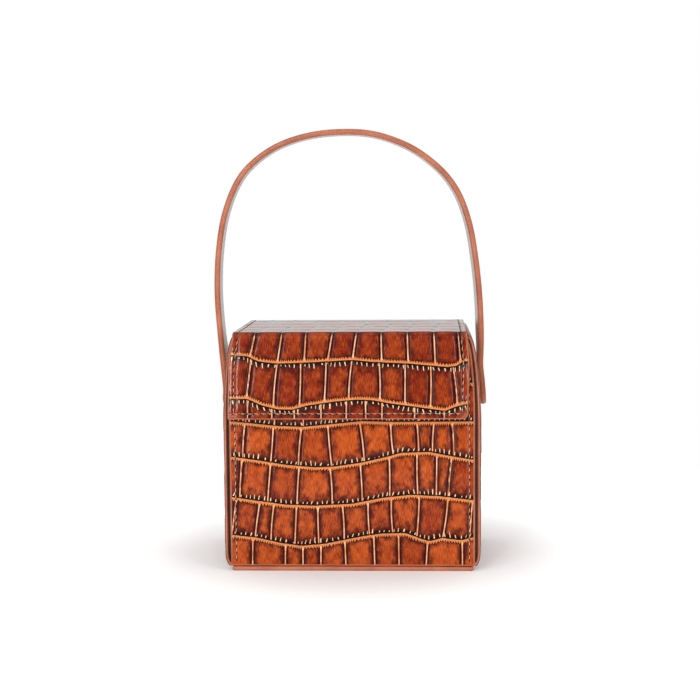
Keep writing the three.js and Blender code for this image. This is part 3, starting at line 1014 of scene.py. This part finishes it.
def wrap_half(run):
    on_flap = np.clip((run - flap_start) / FLAP_SPREAD, 0, 1)
    on_back = panel_half(np.minimum(wrap_foot + run, bend_z))
    spread = (flap_half - lid_half) * np.sin(on_flap * math.pi / 2)
    return np.where(run < back_run, on_back, lid_half + spread)


def corner_loss(run, radius):
    """How much a rounded corner of the flap takes off the half width."""
    from_tip = np.clip(flap_start + flap_run - run, 0, radius)
    return radius - np.sqrt(np.maximum(radius ** 2 - (radius - from_tip) ** 2, 0))


def wrap_left(run):
    run = run / MM
    return (wrap_middle(run) - wrap_half(run) + corner_loss(run, FLAP_CORNER_LEFT)) * MM


def wrap_right(run):
    run = run / MM
    return (wrap_middle(run) + wrap_half(run) - corner_loss(run, FLAP_CORNER_RIGHT)) * MM


def wrap_scales():
    back = grown_scales(156, back_run, 24, 15.5, 31)
    lines = [list(zip(back.grid[::60], line[::60])) for line in back.lines]
    rows = back.rows[:-1]
    rng = np.random.default_rng(32)
    spots = np.linspace(-80, 80, 12)
    for y in LID_LINES:
        level = lid_start + wrap_high.y - BEND - y
        lines.append(list(zip(spots, level + rng.uniform(-0.8, 0.8, 12))))
        pitches = np.arange(-72, 80, 15.6) + rng.uniform(-1.5, 1.5)
        rows.append([(x + rng.uniform(-1.2, 1.2), x + rng.uniform(-1.2, 1.2)) for x in pitches])
    for line in FLAP_LINES:
        points = []
        for a, d in line:
            x, _ = charted(a, d, FLAP_STEP, CHART_FOOT)
            points.append((x, run_at_drop((d - FLAP_CREASE) * FLAP_STEP)))
        lines.append(points)
    levels = (FLAP_CREASE, 320, 545, 640)
    for number, dividers in enumerate(FLAP_DIVIDERS):
        row = []
        for top, foot in dividers:
            top_x, _ = charted(top, levels[number], FLAP_STEP, CHART_FOOT)
            foot_x, _ = charted(foot, levels[number + 1], FLAP_STEP, CHART_FOOT)
            over_lid = (top_x - foot_x) * (1.1 if number == 0 else 0)
            row.append((top_x + over_lid, foot_x))
        rows.append(row)
    return Scales(lines, rows, 33, (0.0, 0.6))


croc_wrap = wrap_scales()


def flap_seam(x, run):
    """Distance in mm to the nearest row of stitches on the wrap."""
    side = wrap_half(run) - STITCH_INSET
    aside = abs(abs(x - wrap_middle(run)) - side)
    below = flap_start + flap_run - STITCH_INSET
    return np.where(run > below, 9.0, aside), abs(run - below)


def dress_wrap(across, run):
    x = across / MM
    s = run / MM
    marks = croc_wrap.marks(x, s)
    aside, below = flap_seam(x, s)
    from_side = wrap_half(s) - abs(x - wrap_middle(s))
    on_flap = np.clip((s - flap_start) / 10, 0, 1)
    on_lid = np.clip((s - lid_start + 4) / 4, 0, 1) * np.clip((flap_start - s) / 5, 0, 1)
    over_bend = np.exp(-((s - lid_start + 1) / 4) ** 4)
    relief = scale_relief(marks) * (1 - 0.4 * on_lid) * (1 - over_bend)
    relief -= on_flap * EDGE_FALL * np.logaddexp(0, (EDGE_ROLL - from_side) * 1.5) / 1.5
    relief -= SEAM_DENT * np.exp(-(np.minimum(aside, below) / SEAM_REACH) ** 2)
    marks["on_lid"] = on_lid
    from_tip = np.clip((flap_start + flap_run - s - 3) / 5, 0, 1)
    polished = np.maximum(on_lid, from_tip * np.exp(-(from_side / EDGE_ROLL) ** 4))
    marks["gloss"] = HIDE_GLOSS + (1 - HIDE_GLOSS) * np.where(s > lid_start - 4, polished, 0)
    return relief * MM, marks


wrap_runs = np.concatenate([
    even(flap_start * MM, WRAP_STEP * MM)[:-1],
    flap_start * MM + even(wrap_route.length - flap_start * MM, FLAP_FACE_STEP * MM),
])
wrap_mesh = leather_sheet(
    "back_lid_flap_leather", wrap_route, (1, 0, 0), wrap_left, wrap_right, SHEET_COLUMNS, wrap_runs,
    WRAP_THICKNESS * MM, WRAP_EDGE * MM, dress_wrap, (CROC, EDGE_PAINT, LINING_HIDE),
)
link_piece("back_lid_flap_leather", wrap_mesh, "croc_leather", "back_lid_flap")

wrap_seams = []
seam_end = flap_start + flap_run - STITCH_INSET
for side in (-1, 1):
    runs = np.linspace(3, seam_end, 1200)
    across = wrap_middle(runs) + side * (wrap_half(runs) - STITCH_INSET)
    wrap_seams.append(on_surface(wrap_route, (1, 0, 0), across * MM, runs * MM, dress_wrap, STITCH_LIFT))
tip_half = wrap_half(np.array([seam_end]))[0] - STITCH_INSET
across = TIP_DRIFT + np.linspace(-tip_half, tip_half, 500)
runs = np.full(500, seam_end)
wrap_seams.append(on_surface(wrap_route, (1, 0, 0), across * MM, runs * MM, dress_wrap, STITCH_LIFT))
sewn_piece("back_lid_flap_stitches", wrap_seams)

# Closure. A plain steel disc under the flap, hidden once the bag is shut, that holds the flap to the
# front panel.


def steel_disc():
    material, tree, shader = new_material("brushed_disc", 0.32)
    shader.inputs["Metallic"].default_value = 1.0
    lay = speckle(tree, stretched(tree, object_place(tree), (4000, 400, 400)), 1.0, 2, 0.5)
    tone = blend(tree, lay, linear(150, 150, 152), linear(205, 205, 208))
    tree.links.new(tone, shader.inputs["Base Color"])
    return material


finish_solid("closure_magnet", steel_disc())

# Handle. Two straps of crocodile leather are glued back to back, cut, edge-painted and stitched along
# both sides. The ends are sewn on the gussets and the strap stands up in an arch by its own stiffness.
STRAP_THICKNESS = 3.7
STRAP_WIDTH = 24.0
STRAP_EDGE = 0.9
STRAP_CORNER = 6.0
HANDLE_RISE = 126.1
HANDLE_SPRING = 6.0
TAB_DROP = 50.7
HANDLE_TWIST = math.radians(2.4)
STRAP_STITCH_INSET = 3.2
STRAP_STITCH_LIFT = -0.05 * MM
STRAP_INNER_LIFT = (0.2 - STRAP_THICKNESS) * MM
STRAP_COLUMNS = 34
STRAP_STEP = 0.75
SEWN_LEFT = (0, 0.03, 0.055)
SEWN_RIGHT = (0.14, 0.1, 0.05, 0)

# The strap's free run from left to right, as on the plain solid: shares of the reach and of the rise.
STRAP_ARCH = [
    (-0.9765, 0.129), (-0.992, 0.204), (-1.0075, 0.28), (-1.023, 0.42), (-1.008, 0.57),
    (-0.956, 0.71), (-0.852, 0.829), (-0.737, 0.893), (-0.553, 0.952), (-0.314, 0.989),
    (-0.05, 1.0), (0.155, 0.991), (0.355, 0.959), (0.495, 0.922), (0.666, 0.852),
    (0.775, 0.778), (0.856, 0.672), (0.908, 0.53), (0.937, 0.386), (0.947, 0.26), (0.9485, 0.2),
]


def smooth_through(points, steps=14):
    """A centripetal Catmull-Rom curve through points."""
    points = np.array(points, float)
    ends = [2 * points[0] - points[1], *points, 2 * points[-1] - points[-2]]
    out = []
    for a, b, c, d in zip(ends, ends[1:], ends[2:], ends[3:]):
        t1 = np.linalg.norm(b - a) ** 0.5
        t2 = t1 + np.linalg.norm(c - b) ** 0.5
        t3 = t2 + np.linalg.norm(d - c) ** 0.5
        for t in np.linspace(t1, t2, steps, endpoint=False):
            ab = (t1 - t) / t1 * a + t / t1 * b
            bc = (t2 - t) / (t2 - t1) * b + (t - t1) / (t2 - t1) * c
            cd = (t3 - t) / (t3 - t2) * c + (t - t2) / (t3 - t2) * d
            abc = (t2 - t) / t2 * ab + t / t2 * bc
            bcd = (t3 - t) / (t3 - t1) * bc + (t - t1) / (t3 - t1) * cd
            out.append((t2 - t) / (t2 - t1) * abc + (t - t1) / (t2 - t1) * bcd)
    return np.array([*out, points[-1]])


lid_z = wrap_high.z
tab_end = lid_z - TAB_DROP
strap_rise = HANDLE_RISE + TAB_DROP - STRAP_THICKNESS / 2
strap_reach = HALF_WIDTH + HANDLE_SPRING


def sewn_point(side, share):
    z = tab_end + share * strap_rise
    x = gusset_face(z) + belly_at(0.0, z) + LIP_SEAM + STRAP_THICKNESS / 2
    return side * float(x), z


strap_points = [sewn_point(-1, share) for share in SEWN_LEFT]
strap_points += [(across * strap_reach, tab_end + up * strap_rise) for across, up in STRAP_ARCH]
strap_points += [sewn_point(1, share) for share in SEWN_RIGHT]
strap_centre = smooth_through(strap_points)
strap_along = np.gradient(strap_centre, axis=0)
strap_along /= np.linalg.norm(strap_along, axis=1)[:, None]
strap_out = np.stack([-strap_along[:, 1], strap_along[:, 0]], axis=-1)
strap_outer = strap_centre + strap_out * STRAP_THICKNESS / 2
trimmed = slice(1, -1)
strap_route = Route(strap_outer[trimmed] * MM, XZ, -1)
strap_length = strap_route.length / MM
strap_scales = grown_scales(34, strap_length, 15.5, 13, 41)
strap_inner_hide = plain_hide("strap_inner_hide", linear(92, 40, 24), linear(150, 78, 50), 0.25, 0.8)


def strap_side(run):
    from_end = np.clip(np.minimum(run, strap_route.length - run) / MM, 0, STRAP_CORNER)
    loss = STRAP_CORNER - np.sqrt(STRAP_CORNER ** 2 - (STRAP_CORNER - from_end) ** 2)
    return (STRAP_WIDTH / 2 - loss) * MM


def dress_strap(across, run):
    marks = strap_scales.marks(across / MM, run / MM)
    seam = abs(abs(across / MM) - (STRAP_WIDTH / 2 - STRAP_STITCH_INSET))
    from_side = np.clip((STRAP_WIDTH / 2 - abs(across / MM) - STRAP_EDGE) / 3, 0, 1)
    relief = 0.7 * from_side * scale_relief(marks) - 0.1 * np.exp(-(seam / 0.6) ** 2)
    return relief * MM, marks


def twist_strap(across, run, place):
    z = place[:, 2] / MM
    share = np.clip((z - (lid_z - TAB_DROP / 2)) / (TAB_DROP / 2), 0, 1)
    turn = HANDLE_TWIST * share ** 2 * (3 - 2 * share)
    return np.stack([-place[:, 1] * np.sin(turn), np.zeros_like(turn), np.zeros_like(turn)], axis=-1)


strap_mesh = leather_sheet(
    "handle_strap_leather", strap_route, (0, 1, 0), lambda run: -strap_side(run), strap_side, STRAP_COLUMNS,
    even(strap_route.length, STRAP_STEP * MM), STRAP_THICKNESS * MM, STRAP_EDGE * MM, dress_strap,
    (CROC, EDGE_PAINT, strap_inner_hide), twist_strap,
)
link_piece("handle_strap_leather", strap_mesh, "croc_leather", "handle_strap")

strap_seams = []
seam_aside = STRAP_WIDTH / 2 - STRAP_STITCH_INSET


def on_strap(across, run, dress, lift):
    return on_surface(strap_route, (0, 1, 0), across * MM, run * MM, dress, lift, twist_strap)


for side in (-1, 1):
    runs = np.linspace(STRAP_CORNER, strap_length - STRAP_CORNER, 2400)
    across = np.full(2400, side * seam_aside)
    strap_seams.append(on_strap(across, runs, dress_strap, STRAP_STITCH_LIFT))
    place, outward = on_strap(across, runs, bare_face, STRAP_INNER_LIFT)
    strap_seams.append((place, -outward))
for end in (STRAP_CORNER - 1.5, strap_length - STRAP_CORNER + 1.5):
    across = np.linspace(-seam_aside, seam_aside, 80)
    strap_seams.append(on_strap(across, np.full(80, end), dress_strap, STRAP_STITCH_LIFT))
sewn_piece("handle_strap_stitches", strap_seams)
bpy.data.meshes.remove(STITCH)
